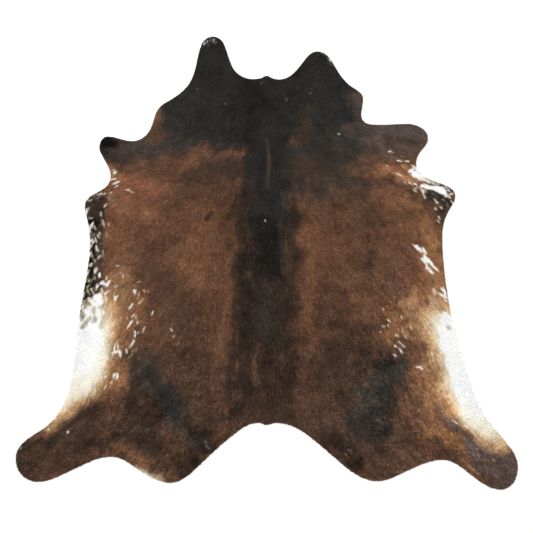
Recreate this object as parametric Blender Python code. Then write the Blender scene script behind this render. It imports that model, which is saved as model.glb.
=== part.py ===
"""A hair-on cowhide rug lying flat on the floor.

One whole hide, in one piece: two horns of the neck at +Y, four legs, two
rumps at -Y, with the back's line along Y. The solid is the leather with its
lying hair on it: flat below, and above it swells from a thin cut edge to the
thicker back. Metres, +Z up, the origin under the middle of the hide.
"""

import math

import bmesh
import bpy
from mathutils import Vector
from mathutils.geometry import delaunay_2d_cdt

# Driving sizes of the hide
LEATHER = 0.0025  # the tanned skin at its cut edge
BELLY_HEIGHT = 0.0045  # skin and lying hair along the flanks and legs
BACK_HEIGHT = 0.0062  # the same along the back and neck
BACK_WIDTH = 0.42  # how far from the back's line the hide thins out
CREASE_HEIGHT = 0.0008  # the low ridge where the hide was folded down its back
CREASE_WIDTH = 0.035
RIM = 0.006  # how far in from the edge the hair reaches its height

# How finely the surface is divided
STEP_LENGTH = 0.028  # longest piece of edge
STEP_TURN = math.radians(9)  # most that the edge turns in one piece
CURVE_SAMPLES = 60
TOP_PITCH = 0.045  # between the points of the upper side
BASE_PITCH = 0.160  # between the points of the underside
CLEAR_OF_RIM = 0.5  # of a pitch, kept between those points and the rim

# The outline, clockwise from the middle of the neck, seen from above with the
# neck away from the viewer. The heading is the way the edge runs there, in
# degrees from +X.
# place, x, y, heading
OUTLINE = (
    ("neck nib", 0.000, 0.905, 0),
    ("nib foot right", 0.035, 0.887, -20),
    ("neck hollow right", 0.075, 0.881, 8),
    ("right horn inner", 0.190, 0.990, 57),
    ("right horn tip", 0.280, 1.072, -5),
    ("right horn outer", 0.355, 0.990, -67),
    ("right neck side", 0.445, 0.833, -42),
    ("right shoulder", 0.499, 0.765, -85),
    ("right arm pit front", 0.485, 0.665, -97),
    ("right arm pit", 0.494, 0.610, -55),
    ("right leg front root", 0.550, 0.588, -3),
    ("right leg front", 0.715, 0.593, 0),
    ("right fore hoof", 0.811, 0.510, -90),
    ("right leg back", 0.765, 0.423, -125),
    ("right notch", 0.736, 0.345, -88),
    ("right notch low", 0.775, 0.272, -35),
    ("right elbow top", 0.870, 0.226, -28),
    ("right elbow", 0.907, 0.175, -92),
    ("right elbow low", 0.862, 0.080, -120),
    ("right belly front", 0.823, -0.030, -99),
    ("right belly", 0.809, -0.280, -90),
    ("right flank", 0.842, -0.640, -79),
    ("right flank low", 0.870, -0.790, -75),
    ("right shank", 0.900, -0.880, -63),
    ("right shank low", 0.976, -1.000, -56),
    ("right hind hoof", 1.005, -1.085, -97),
    ("right hind toe", 0.922, -1.176, 180),
    ("right shank back", 0.810, -1.117, 141),
    ("right bay", 0.705, -1.062, -178),
    ("right rump side", 0.565, -1.103, -157),
    ("right rump", 0.440, -1.144, 180),
    ("right rump inner", 0.290, -1.068, 139),
    ("right tail side", 0.145, -0.949, 147),
    ("tail foot right", 0.040, -0.915, 180),
    ("tail nib", 0.000, -0.923, 180),
    ("tail foot left", -0.035, -0.915, 180),
    ("left tail side", -0.150, -0.975, -142),
    ("left rump inner", -0.290, -1.103, -137),
    ("left rump", -0.380, -1.150, 180),
    ("left rump side", -0.500, -1.106, 151),
    ("left bay", -0.625, -1.050, 180),
    ("left shank back", -0.785, -1.106, -155),
    ("left hind toe", -0.905, -1.147, 180),
    ("left hind hoof", -1.008, -1.045, 92),
    ("left shank low", -0.960, -0.972, 36),
    ("left shank", -0.880, -0.907, 51),
    ("left flank low", -0.833, -0.800, 78),
    ("left flank", -0.826, -0.560, 90),
    ("left belly", -0.814, -0.220, 88),
    ("left belly front", -0.830, -0.015, 102),
    ("left elbow", -0.866, 0.125, 92),
    ("left elbow top", -0.830, 0.178, 36),
    ("left notch low", -0.775, 0.220, 52),
    ("left notch", -0.759, 0.270, 90),
    ("left leg back", -0.798, 0.373, 119),
    ("left fore hoof", -0.833, 0.455, 92),
    ("left fore toe", -0.797, 0.515, 0),
    ("left leg front", -0.675, 0.487, 0),
    ("left arm pit front", -0.600, 0.532, 60),
    ("left shoulder low", -0.567, 0.655, 78),
    ("left shoulder", -0.520, 0.729, 36),
    ("left neck side", -0.412, 0.840, 62),
    ("left horn outer", -0.372, 1.000, 83),
    ("left horn side", -0.352, 1.120, 75),
    ("left horn tip", -0.292, 1.178, 0),
    ("left horn inner", -0.230, 1.122, -70),
    ("left horn foot", -0.180, 0.962, -66),
    ("left neck hollow", -0.070, 0.883, 0),
    ("nib foot left", -0.030, 0.889, 16),
)

HIDE_COLOUR = (0.045, 0.024, 0.015, 1.0)
HIDE_ROUGHNESS = 0.62


def clear_scene():
    for old in list(bpy.data.objects):
        bpy.data.objects.remove(old)


def turn_between(start, end):
    """The signed turn from one heading to the next, in degrees."""
    return (end - start + 180) % 360 - 180


def direction(heading):
    return Vector((math.cos(math.radians(heading)), math.sin(math.radians(heading))))


def stretch(start, end):
    """Points along the edge from one row of OUTLINE up to the next, which is left out.

    It is one cubic curve with both rows' headings, and an arc where both fit one.
    """
    p, q = Vector(start[1:3]), Vector(end[1:3])
    chord = (q - p).length
    turn = math.radians(turn_between(start[3], end[3]))
    reach = chord / (3 * math.cos(turn / 4) ** 2)
    out, back = p + reach * direction(start[3]), q - reach * direction(end[3])

    def at(t):
        s = 1 - t
        return s**3 * p + 3 * s * s * t * out + 3 * s * t * t * back + t**3 * q

    fine = [at(i / CURVE_SAMPLES) for i in range(CURVE_SAMPLES + 1)]
    runs = [b - a for a, b in zip(fine, fine[1:])]
    turned = sum(abs(a.angle_signed(b)) for a, b in zip(runs, runs[1:]))
    length = sum(run.length for run in runs)
    count = math.ceil(max(length / STEP_LENGTH, turned / STEP_TURN))
    return [at(i / count) for i in range(count)]


def hide_outline():
    """The closed edge of the hide, anticlockwise, round the middle of its own box."""
    points = []
    for start, end in zip(OUTLINE, OUTLINE[1:] + OUTLINE[:1]):
        points += stretch(start, end)
    points.reverse()
    xs, ys = [p.x for p in points], [p.y for p in points]
    middle = Vector((min(xs) + max(xs), min(ys) + max(ys))) / 2
    return [p - middle for p in points]


def inset(loop, distance):
    """The loop moved inwards by a distance, across the edge at each point."""
    moved = []
    for i, p in enumerate(loop):
        along = (loop[(i + 1) % len(loop)] - loop[i - 1]).normalized()
        moved.append(p + distance * Vector((-along.y, along.x)))
    return moved


def is_inside(loop, p, margin):
    """True where p is within the loop and at least the margin away from its corners."""
    inside = False
    for a, b in zip(loop, loop[1:] + loop[:1]):
        if (a - p).length < margin:
            return False
        if (a.y > p.y) != (b.y > p.y):
            crossing = a.x + (p.y - a.y) / (b.y - a.y) * (b.x - a.x)
            inside ^= crossing > p.x
    return inside


def filled(loop, pitch):
    """Triangles that fill the loop over evenly spaced points: (points, triangles)."""
    row_gap = pitch * math.sqrt(3) / 2
    reach_x = max(abs(p.x) for p in loop)
    reach_y = max(abs(p.y) for p in loop)
    columns, rows = math.ceil(reach_x / pitch), math.ceil(reach_y / row_gap)
    inner = []
    for row in range(-rows, rows + 1):
        shift = pitch / 2 if row % 2 else 0.0
        for column in range(-columns, columns + 1):
            p = Vector((column * pitch + shift, row * row_gap))
            if is_inside(loop, p, CLEAR_OF_RIM * pitch):
                inner.append(p)
    ring = list(range(len(loop)))
    result = delaunay_2d_cdt(loop + inner, [], [ring], 1, 1e-7)
    return result[0], result[2]


def top_height(p):
    """The height of the lying hair over the floor, away from the rim."""
    back = math.exp(-((p.x / BACK_WIDTH) ** 2))
    crease = math.exp(-((p.x / CREASE_WIDTH) ** 2))
    return BELLY_HEIGHT + (BACK_HEIGHT - BELLY_HEIGHT) * back + CREASE_HEIGHT * crease


def add_skin(mesh, loop, pitch, height, facing_up):
    """Adds a filled loop at the heights given, and returns the loop's own vertices."""
    points, triangles = filled(loop, pitch)
    verts = [mesh.verts.new((p.x, p.y, height(p))) for p in points]
    for triangle in triangles:
        corners = [verts[i] for i in triangle]
        mesh.faces.new(corners if facing_up else reversed(corners))
    return verts[: len(loop)]


def add_wall(mesh, lower, upper):
    """Joins two loops of vertices with the same count, facing outwards."""
    count = len(lower)
    for i in range(count):
        j = (i + 1) % count
        mesh.faces.new((lower[i], lower[j], upper[j], upper[i]))


def hide_material():
    material = bpy.data.materials.new("hair_on_leather")
    material.use_nodes = True
    shader = material.node_tree.nodes["Principled BSDF"]
    shader.inputs["Base Color"].default_value = HIDE_COLOUR
    shader.inputs["Roughness"].default_value = HIDE_ROUGHNESS
    shader.inputs["Metallic"].default_value = 0.0
    return material


def build_hide():
    edge = hide_outline()
    mesh = bmesh.new()
    base = add_skin(mesh, edge, BASE_PITCH, lambda p: 0.0, facing_up=False)
    cut = [mesh.verts.new((p.x, p.y, LEATHER)) for p in edge]
    top = add_skin(mesh, inset(edge, RIM), TOP_PITCH, top_height, facing_up=True)
    add_wall(mesh, base, cut)
    add_wall(mesh, cut, top)
    data = bpy.data.meshes.new("hide")
    mesh.to_mesh(data)
    mesh.free()
    data.shade_smooth()
    data.set_sharp_from_angle(angle=math.radians(35))
    data.materials.append(hide_material())
    hide = bpy.data.objects.new("hide", data)
    bpy.context.scene.collection.objects.link(hide)
    return hide


clear_scene()
build_hide()
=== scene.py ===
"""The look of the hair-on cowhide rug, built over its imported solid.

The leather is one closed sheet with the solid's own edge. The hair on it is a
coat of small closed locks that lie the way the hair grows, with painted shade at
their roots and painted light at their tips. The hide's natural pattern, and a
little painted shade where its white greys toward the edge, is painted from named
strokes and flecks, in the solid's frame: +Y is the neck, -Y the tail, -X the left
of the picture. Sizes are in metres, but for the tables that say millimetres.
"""

import math

import bpy
import numpy as np
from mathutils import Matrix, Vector
from mathutils.geometry import delaunay_2d_cdt


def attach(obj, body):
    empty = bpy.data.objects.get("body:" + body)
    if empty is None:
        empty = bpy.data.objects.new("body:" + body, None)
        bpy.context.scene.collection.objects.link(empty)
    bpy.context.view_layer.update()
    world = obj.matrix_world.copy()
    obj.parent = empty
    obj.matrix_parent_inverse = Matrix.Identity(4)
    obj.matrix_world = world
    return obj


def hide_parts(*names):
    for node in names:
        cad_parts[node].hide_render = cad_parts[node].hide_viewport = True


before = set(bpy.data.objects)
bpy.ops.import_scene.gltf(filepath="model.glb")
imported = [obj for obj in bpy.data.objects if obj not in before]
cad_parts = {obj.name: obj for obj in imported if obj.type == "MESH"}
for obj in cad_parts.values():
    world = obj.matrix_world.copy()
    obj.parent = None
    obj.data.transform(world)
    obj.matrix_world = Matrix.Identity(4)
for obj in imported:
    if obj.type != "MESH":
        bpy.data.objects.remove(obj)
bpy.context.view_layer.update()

BODY = "root"
NODE = "hide"
MM = 1000  # millimetres in a metre
PERCENT = 100

# The hide's heights over the floor, as the solid has them
BELLY_HEIGHT = 0.0045
BACK_HEIGHT = 0.0062
BACK_WIDTH = 0.42
CREASE_HEIGHT = 0.0008
CREASE_WIDTH = 0.035
RIM = 0.006  # how far in from the edge the hair reaches its height

# The leather
SKIN_TOP = 0.0024  # its upper side, where the hair is rooted
RIM_DROP = 0.0004  # how much lower that is at the cut edge
RIM_DROP_WIDTH = 3 * RIM
SHEET_STEP = 0.005  # along the leather's edge
SHEET_PITCH = 0.013  # of the net of its upper side
UNDER_PITCH = 0.040
CLEAR_OF_EDGE = 0.55  # of a pitch, kept between those nets and the edge
FILL_GAP = 1e-7  # closer points count as one
SHEET_SHARP = math.radians(40)
ON_FLOOR = 1e-5  # lower than this is on the floor
WELD_STEPS = 1e5  # in a metre, to which the solid's corners are matched
OUTLINE_STEP = 0.006  # along the edge that distances are measured from

# The locks of hair. Two numbers are the least and the most of what they name.
LOCK_PITCH = 0.0041  # between the roots of neighbouring locks
LOCK_JITTER = 0.42  # of that pitch
LOCK_WIDTH = 0.0040
LOCK_WIDTHS = (0.75, 1.25)  # of LOCK_WIDTH
LOCK_LENGTHS = (0.75, 1.2)  # of the length there
LOCK_SPREAD = math.radians(7)
EDGE_HAIR = 0.0040  # the most that it reaches over the cut edge
SHORTEST = 0.15  # of its length, the least that is left of a lock cut back there
LEAST_FALL = 1e-6  # towards the edge, from a lock's root to its tip
ROOT_DEPTH = 0.0004  # under SKIN_TOP
RIDGE_PLACE = 0.38  # of a lock's length
RIDGE_HEIGHT = 0.0010
RIDGE_HEIGHTS = (0.7, 1.2)  # of RIDGE_HEIGHT
TUFT_HEIGHT = 0.00025  # how much the tips rise and fall together
TIP_STRAY = (-0.0004, 0.0005)
RISE_START = -0.001  # in from the edge, where the tips start to rise
DROOP = 0.4  # how steeply the tips sink past the edge
DROOP_REACH = 0.01  # how far past it they go on sinking
TIP_LOWEST = 0.0008
COAT_SEED = 7
COAT_PIECES = ("coat_neck", "coat_shoulders", "coat_ribs", "coat_flanks", "coat_rump")
PIECE_FRAY = 0.0005  # spread of the line where one piece of the coat gives way to the next
# The corners of a lock are its left root, right root, ridge and tip, in that order
LOCK_FACES = np.array([(0, 3, 1), (0, 1, 2), (1, 3, 2), (3, 0, 2)])
STRAND_CORNERS = np.array([(0, 0), (1, 0), (0.5, RIDGE_PLACE), (0.5, 1)])
COLOUR_LAYER = "pigment"
STRAND_MAP = "strands"
STRAND_PLACES = 500  # along the pattern of the strands, from which each lock takes one

# How the hair's colour varies: the shades are shares of the painted colour.
# The roots are darker as painted shade deep in the coat, less so in pale hair,
# the ridges a little darker, and the tips lighter as painted light on top.
ROOT_PAINTED_SHADE = 0.80
PALE_ROOT_PAINTED_SHADE = 0.95
RIDGE_PAINTED_SHADE = 0.98
TIP_PAINTED_LIGHT = 1.03
SMEAR = 0.6  # how far each corner takes the colour of its lock as a whole
SMEAR_PLACE = 0.6  # of a lock's length, where that colour is taken
LOCK_SHADE = 0.14  # how much one lock differs from the next
PALE_LOCK_EVEN = 0.8  # how much less the shade of pale locks varies
ROUGH_LOCK_SHADE = 0.4  # and how much more it does in rough places
PALE_LOCK = (130, 235)  # the colours at which a lock starts to be pale, and fully is
LOCK_WARMTH = 0.02
WARM_SHARES = np.array([[1.0, 0.1, -0.8]])  # of it, in red, green and blue

# How the coat turns its own colour into what is seen, in light values
COAT_SHINE = 0.0051
COAT_OPEN = 0.695
COAT_TRAP = 0.358
LEAST_PIGMENT = 0.0005

# The materials. A texture has its scale, detail and roughness, a bump its strength
# and distance, and a span the low and high end that a value is spread over, then
# those that it is spread from where they aren't 0 and 1.
STRAND_STRETCH = (5.0, 0.8, 1.0)
STRAND_TEXTURE = (1.0, 2.0)
STRAND_SHADES = (0.80, 1.20, 0.3, 0.7)
STRANDS_SHOWN = (1.0, 0.2, 0.15, 0.75)  # less where the hair is pale
HAIR_ROUGHNESS = (0.45, 0.68)
HAIR_BUMP = (0.35, 0.0004)
HAIR_SPECULAR = 0.08
PORE_TEXTURE = (900.0, 3.0)
PORE_SHADES = (0.75, 1.25)
SKIN_ROUGHNESS = 0.8
SKIN_BUMP = (0.4, 0.0005)
SUEDE_COLOURS = ((0.35, (176, 158, 132)), (0.65, (214, 200, 178)))  # level, colour
SUEDE_PATCHES = (7.0, 5.0, 0.6)
NAP_TEXTURE = (1400.0, 2.0)
NAP_BUMP = (0.5, 0.0004)
SUEDE_ROUGHNESS = (0.8, 0.98)
SUEDE_SHEEN = 0.15
SUEDE_SPECULAR = 0.2
FLOOR_TEXTURE = (3.0, 2.0)
FLOOR_TONES = (0.635, 0.645)
FLOOR_ROUGHNESS = 0.9

# The mottling: how strongly each field shows, and how much more in rough places
GRAIN = 1.2
FINE_GRAIN = 0.032
SPECKLE_GRAIN = 0.032
STREAK_GRAIN = 0.020
BRINDLE_GRAIN = 0.016
BLOTCH_GRAIN = 0.022
MOTTLE_GRAIN = 0.032
DRIFT_GRAIN = 0.023
ROUGH_BLOTCHES = 0.6
ROUGH_DRIFT = 0.030
ROUGH_SPECKLE = 0.030
ROUGH_FINE = 0.026
SPECK_DARKNESS = 0.10
SPECK_START = 2.2  # of the fields together, where a dark speck starts
PALE_GRAIN = (150, 235)  # the colours at which hair starts to be pale, and fully is
PALE_EVEN = 0.85  # how much weaker the mottling is in pale hair
DARKEST = 0.3  # share of the paint that it leaves at the least

# The random fields: seed, size across their blobs, and how far they are combed
# out along the hair
DRIFT_X = (21, 0.05)
DRIFT_Y = (25, 0.05)
MOTTLE = (31, 0.03)
FRAY = (41, 0.007, 0.040)
STREAK = (51, 0.012, 0.090)
BRINDLE = (61, 0.030, 0.200)
BRINDLE_STRIDE = 3
FINE_SEED = 71
FINE_LENGTH = 0.022
BLOTCH = (81, 0.016)
SPECKLE = (91, 0.0065)
SWAY = (11, 0.07)  # of the hair's heading
SWAY_TURN = math.radians(7)
WAVE = (12, 0.022)
WAVE_TURN = math.radians(5)

# How strokes get their ragged rims
FRAY_SHARE = 0.7
MOTTLE_SHARE = 0.4
DRIFT_REACH = 4  # the most that the ground drifts, over its usual drift

# How flecks are made of strands. Two numbers are the least and the most.
FLECK_FEATHER = 0.0020
STRAND_WIDTH = 0.0048
STRAND_OVERLAP = 1.25
STRAND_TAPER = 0.5
STRAND_LENGTHS = (0.65, 1.0)
STRAND_STRENGTHS = (0.88, 1)
STRAND_STRAY = 0.0006
STRAND_SHIFT = 0.13  # of its length
STRAND_TURN = 0.12
STRANDS_SEED = 101
RUN_SIZES = 0.35  # spread of the flecks' sizes in a run
RUN_TURN = 14
RUN_STRENGTHS = (0.75, 1.0)

# The studio
IMAGE_PIXELS = 533
FOCAL_PIXELS = 656.5
SENSOR_WIDTH = 36
CAMERA_ELEVATION = 65
CAMERA_DISTANCE = 3.0
CAMERA_TARGET = (0.0015, -0.2065, 0.0)
CAMERA_SIGHT = 200
FLOOR_REACH = 40.0
FLOOR_GAP = 0.0003
SKY_STRENGTH = 1.12
# name, place, size, power
SOFT_BOXES = (
    ("soft_box_left", (-2.2, 1.4, 3.6), 2.6, 120.0),
    ("soft_box_right", (2.4, -0.8, 3.8), 2.6, 52.0),
)

# ---------------------------------------------------------------- the pattern's tables
CELL = 0.0025  # spacing of the cells that the pattern is painted on
MARGIN = 0.03  # painted past the hide's box
EDGE_REACH = 0.10  # how far from the edge distances are measured
PAST_LAST = 1.001  # cells short of the end, so that there is always a next one
SPARE_KNOTS = 5  # of a random field, past its last blob
MIDDLE_LEAN = 1e-6  # keeps the two halves' hair apart on the line of the back
TINY = 1e-9

# Which way the hair lies, in degrees from +X, and how long it is, on the right
# half. The left half is its mirror image.
# place, x, y, heading, length
GUIDES = (
    ("neck nib", 0.00, 0.90, -90, 0.0099),
    ("neck", 0.00, 0.60, -90, 0.0112),
    ("withers", 0.00, 0.25, -90, 0.0118),
    ("back", 0.00, -0.15, -90, 0.0118),
    ("loin", 0.00, -0.55, -90, 0.0112),
    ("tail", 0.00, -0.90, -90, 0.0112),
    ("horn", 0.28, 1.02, -80, 0.0087),
    ("cheek", 0.25, 0.75, -78, 0.0105),
    ("neck side", 0.45, 0.72, -66, 0.0105),
    ("shoulder", 0.30, 0.45, -62, 0.0112),
    ("arm", 0.52, 0.52, -32, 0.0105),
    ("fore leg", 0.72, 0.50, -18, 0.0087),
    ("fore leg back", 0.62, 0.38, -18, 0.0112),
    ("notch", 0.72, 0.30, -38, 0.0099),
    ("elbow", 0.80, 0.20, -32, 0.0099),
    ("elbow point", 0.88, 0.16, -50, 0.0093),
    ("elbow low", 0.82, 0.05, -68, 0.0099),
    ("ribs front", 0.45, 0.20, -56, 0.0112),
    ("ribs high", 0.22, 0.00, -72, 0.0112),
    ("ribs", 0.45, -0.15, -64, 0.0112),
    ("ribs low", 0.66, 0.00, -60, 0.0118),
    ("belly", 0.76, -0.20, -56, 0.0105),
    ("belly back", 0.78, -0.45, -72, 0.0124),
    ("flank high", 0.30, -0.45, -70, 0.0112),
    ("flank", 0.55, -0.50, -62, 0.0118),
    ("flank low", 0.74, -0.68, -68, 0.0136),
    ("flank edge", 0.84, -0.80, -66, 0.0130),
    ("croup", 0.18, -0.75, -74, 0.0112),
    ("rump", 0.40, -0.85, -58, 0.0112),
    ("rump end", 0.42, -1.08, -62, 0.0099),
    ("thigh", 0.60, -0.88, -50, 0.0112),
    ("thigh low", 0.70, -1.00, -40, 0.0105),
    ("shank", 0.84, -1.00, -44, 0.0093),
    ("hind hoof", 0.95, -1.10, -50, 0.0081),
)
GUIDE_REACH = 0.11

# Colours of the hair, as red, green and blue of 255
PALETTE = {
    "white": (251, 251, 250),
    "chalk": (244, 244, 243),
    # pale grey is grey hair in flecks, and painted shade where the white greys toward the hide's edge
    "pale grey": (238, 238, 238),
    "ivory": (247, 243, 226),
    "cream": (228, 214, 188),
    "dun": (184, 164, 134),
    "gold": (194, 154, 112),
    "tan": (152, 112, 80),
    "copper": (150, 99, 77),
    "orange brown": (138, 96, 66),
    "rust": (117, 80, 59),
    "russet": (119, 77, 60),
    "red brown": (101, 70, 53),
    "brown": (88, 62, 47),
    "umber": (72, 54, 44),
    "dark brown": (52, 42, 36),
    "plum": (80, 69, 66),
    "slate": (56, 51, 47),
    "charcoal": (43, 42, 40),
    "soot": (34, 31, 28),
    "black": (20, 18, 16),
    "ash": (112, 109, 102),
    "taupe": (126, 116, 100),
}
GROUND = "brown"

# Where the hair is more mottled than elsewhere, or less.
# place, x, y, reach, how much more
ROUGH_PLACES = (
    ("neck", 0.00, 0.80, 0.30, -0.45),
    ("right shoulder", 0.30, 0.45, 0.20, -0.25),
    ("left hind quarter", -0.45, -0.95, 0.22, 0.8),
    ("right hind quarter", 0.50, -0.95, 0.20, 0.8),
    ("loin", 0.00, -0.70, 0.22, 0.4),
    ("right thigh", 0.64, -0.66, 0.14, 0.5),
    ("left shank", -0.82, -0.98, 0.14, 0.2),
    ("right shank", 0.90, -1.05, 0.10, 0.2),
    ("right haunch", 0.50, -0.40, 0.16, 0.4),
    ("left elbow", -0.60, 0.20, 0.10, -0.3),
)

# Soft strokes of the pattern, laid one over the other in the order of the tables.
# Each runs through two or more places, with its half-width at each, and fades over
# its feather. The sizes are in millimetres, the strength in hundredths.
# where, x, y and half-width at each place, feather, ragged, colour, strength
GROUNDS = (  # ribs, rump, neck and arms
    ("left ribs", -560, 150, 200, -520, -350, 160, 200, 30, "red brown", 50),
    ("right ribs", 640, 160, 150, 660, -350, 160, 180, 30, "red brown", 60),
    ("rump", -500, -860, 280, 500, -860, 280, 240, 40, "umber", 85),
    ("neck", -120, 1100, 500, -120, 720, 500, 180, 20, "charcoal", 100),
    ("neck right", 250, 950, 320, 260, 560, 260, 180, 30, "charcoal", 100),
    ("right arm", 520, 530, 80, 800, 530, 100, 140, 12, "plum", 100),
    ("right shoulder", 140, 480, 150, 380, 380, 150, 200, 20, "slate", 80),
    ("right shoulder low", 120, 260, 120, 400, 240, 100, 160, 30, "slate", 60),
    ("left arm", -420, 460, 60, -780, 430, 90, 120, 12, "slate", 95),
    ("left shoulder", -400, 300, 120, -150, 250, 120, 160, 15, "umber", 55),
)
BACK_LINE = (  # the dark line of the back
    ("back front", 0, 620, 130, 10, 100, 80, 140, 12, "charcoal", 100),
    ("back", 0, 220, 95, 0, -350, 85, 100, 12, "charcoal", 100),
    ("back left edge", -125, 200, 30, -105, -360, 45, 80, 12, "dark brown", 95),
    ("back right edge", 135, 140, 30, 110, -400, 40, 80, 12, "dark brown", 95),
    ("back middle", -20, 20, 50, 20, -280, 50, 80, 12, "soot", 90),
    ("back of neck", -80, 850, 50, -80, 450, 50, 100, 20, "soot", 70),
    ("loin line", 0, -380, 115, 0, -720, 105, 90, 15, "dark brown", 100),
    ("loin left", -90, -100, 20, -80, -600, 20, 50, 12, "soot", 60),
    ("loin", 0, -330, 35, 10, -550, 30, 60, 12, "slate", 60),
    ("loin left", -120, -420, 20, -140, -850, 30, 50, 15, "dark brown", 80),
    ("tail head", 0, -700, 100, 0, -820, 120, 100, 20, "dark brown", 80),
    ("tail", 0, -830, 35, 0, -930, 60, 60, 12, "umber", 80),
    ("left croup shade", -255, -820, 18, -235, -900, 18, 40, 10, "dark brown", 70),
    ("croup left", -35, -580, 8, -30, -740, 12, 30, 8, "red brown", 60),
    ("croup right", 25, -640, 6, 30, -760, 6, 30, 8, "brown", 50),
    ("back line", 10, 485, 4, 12, 395, 7, 20, 3, "red brown", 85),
    ("back line low", 12, 380, 7, 6, 225, 3, 30, 3, "red brown", 75),
)
LEFT_FRONT = (  # neck, arm and shoulder
    ("shoulder", -560, 685, 22, -560, 610, 22, 70, 6, "rust", 80),
    ("shoulder", -580, 545, 20, -545, 500, 24, 80, 10, "brown", 75),
    ("fore toe", -808, 495, 38, -768, 475, 28, 40, 6, "black", 100),
    ("fore hoof", -830, 445, 35, -790, 415, 22, 50, 6, "soot", 80),
    ("fore", -735, 470, 15, -715, 440, 15, 50, 8, "brown", 40),
    ("fore back", -785, 345, 10, -760, 315, 14, 50, 6, "orange brown", 75),
    ("fore leg low", -760, 375, 20, -680, 360, 20, 60, 10, "dark brown", 55),
    ("arm blot", -540, 335, 22, -500, 325, 16, 50, 10, "dark brown", 70),
    ("bar", -500, 325, 26, -360, 385, 40, 100, 12, "red brown", 95),
    ("bar end", -320, 415, 36, -130, 405, 18, 100, 14, "russet", 70),
    ("bar mist", -300, 375, 50, -180, 370, 40, 100, 12, "red brown", 35),
    ("bar tip", -150, 405, 10, -115, 402, 10, 30, 4, "rust", 80),
    ("bar low", -420, 345, 20, -360, 345, 20, 70, 10, "rust", 60),
    ("withers haze", -270, 290, 30, -200, 250, 30, 60, 12, "red brown", 35),
    ("elbow", -750, 250, 40, -535, 232, 45, 100, 20, "russet", 95),
    ("arm under", -720, 312, 8, -580, 300, 10, 35, 8, "umber", 65),
    ("notch", -755, 285, 20, -690, 262, 20, 50, 8, "orange brown", 80),
    ("elbow low", -660, 190, 50, -520, 180, 45, 100, 20, "russet", 85),
    ("ribs", -700, 110, 50, -560, 70, 50, 100, 20, "rust", 75),
    ("spot", -585, 90, 12, -560, 70, 15, 30, 6, "orange brown", 50),
    ("ribs", -740, 165, 18, -722, 135, 18, 50, 8, "taupe", 35),
    ("ribs shade", -500, 130, 30, -440, 100, 30, 70, 20, "umber", 50),
    ("withers", -180, 255, 15, -145, 225, 20, 50, 12, "red brown", 80),
    ("withers", -165, 140, 30, -150, -20, 30, 70, 15, "dark brown", 55),
)
LEFT_SIDE = (  # ribs and flank
    ("side", -300, 60, 60, -290, -300, 70, 140, 20, "rust", 50),
    ("side gleam", -360, -180, 30, -310, -300, 30, 100, 15, "rust", 60),
    ("spot", -262, 72, 5, -282, 36, 11, 14, 3, "dark brown", 85),
    ("side strip", -170, -50, 25, -190, -600, 25, 60, 15, "red brown", 80),
    ("side strip low", -200, -600, 20, -200, -820, 30, 50, 15, "red brown", 55),
    ("side shade", -520, -120, 60, -470, -300, 50, 90, 25, "umber", 55),
    ("side low", -400, -380, 90, -340, -620, 90, 120, 25, "umber", 55),
    ("flank", -680, 0, 30, -660, -280, 30, 80, 20, "rust", 60),
    ("flank", -655, -280, 50, -645, -560, 42, 90, 12, "tan", 75),
    ("flank", -600, -420, 30, -600, -600, 30, 60, 15, "orange brown", 70),
    ("flank warm", -565, -380, 30, -560, -480, 25, 60, 15, "orange brown", 65),
    ("belly", -705, -295, 22, -680, -420, 30, 60, 10, "tan", 80),
    ("flank low", -635, -550, 35, -665, -780, 30, 80, 12, "orange brown", 80),
    ("flank specks", -410, -530, 20, -400, -570, 20, 50, 10, "rust", 35),
    ("thigh", -630, -660, 30, -610, -760, 25, 60, 12, "orange brown", 70),
)
LEFT_HIND = (  # thigh, rump and shank
    ("thigh", -525, -680, 55, -430, -800, 50, 80, 20, "slate", 90),
    ("thigh low", -430, -800, 45, -310, -960, 45, 80, 20, "slate", 85),
    ("thigh", -545, -760, 50, -490, -960, 60, 100, 22, "dark brown", 75),
    ("thigh", -510, -710, 20, -370, -870, 25, 60, 15, "charcoal", 70),
    ("thigh edge", -580, -640, 15, -540, -840, 20, 60, 15, "dark brown", 80),
    ("rump", -500, -970, 50, -600, -930, 40, 90, 20, "dark brown", 70),
    ("croup", -320, -790, 20, -240, -860, 20, 50, 15, "red brown", 50),
    ("rump", -250, -930, 20, -150, -950, 20, 50, 12, "red brown", 45),
    ("rump shade", -280, -940, 35, -235, -1010, 30, 70, 12, "soot", 70),
    ("rump tip", -280, -1080, 30, -330, -1120, 30, 40, 10, "soot", 60),
    ("shank ground", -660, -970, 80, -960, -1060, 90, 100, 15, "umber", 90),
    ("shank", -715, -865, 32, -810, -945, 36, 60, 12, "dark brown", 90),
    ("thigh warm", -630, -790, 30, -655, -920, 30, 70, 15, "brown", 60),
    ("shank low", -810, -945, 30, -930, -985, 24, 50, 12, "dark brown", 95),
    ("bay", -610, -1020, 16, -480, -1085, 22, 70, 10, "rust", 80),
    ("bay streak", -620, -980, 12, -770, -1030, 10, 40, 10, "soot", 50),
    ("bay", -515, -1105, 14, -420, -1145, 18, 30, 6, "dun", 80),
    ("bay", -500, -1115, 6, -440, -1142, 8, 20, 4, "cream", 60),
    ("shank hoof", -990, -1040, 40, -940, -1120, 30, 60, 12, "dark brown", 60),
)
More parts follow.
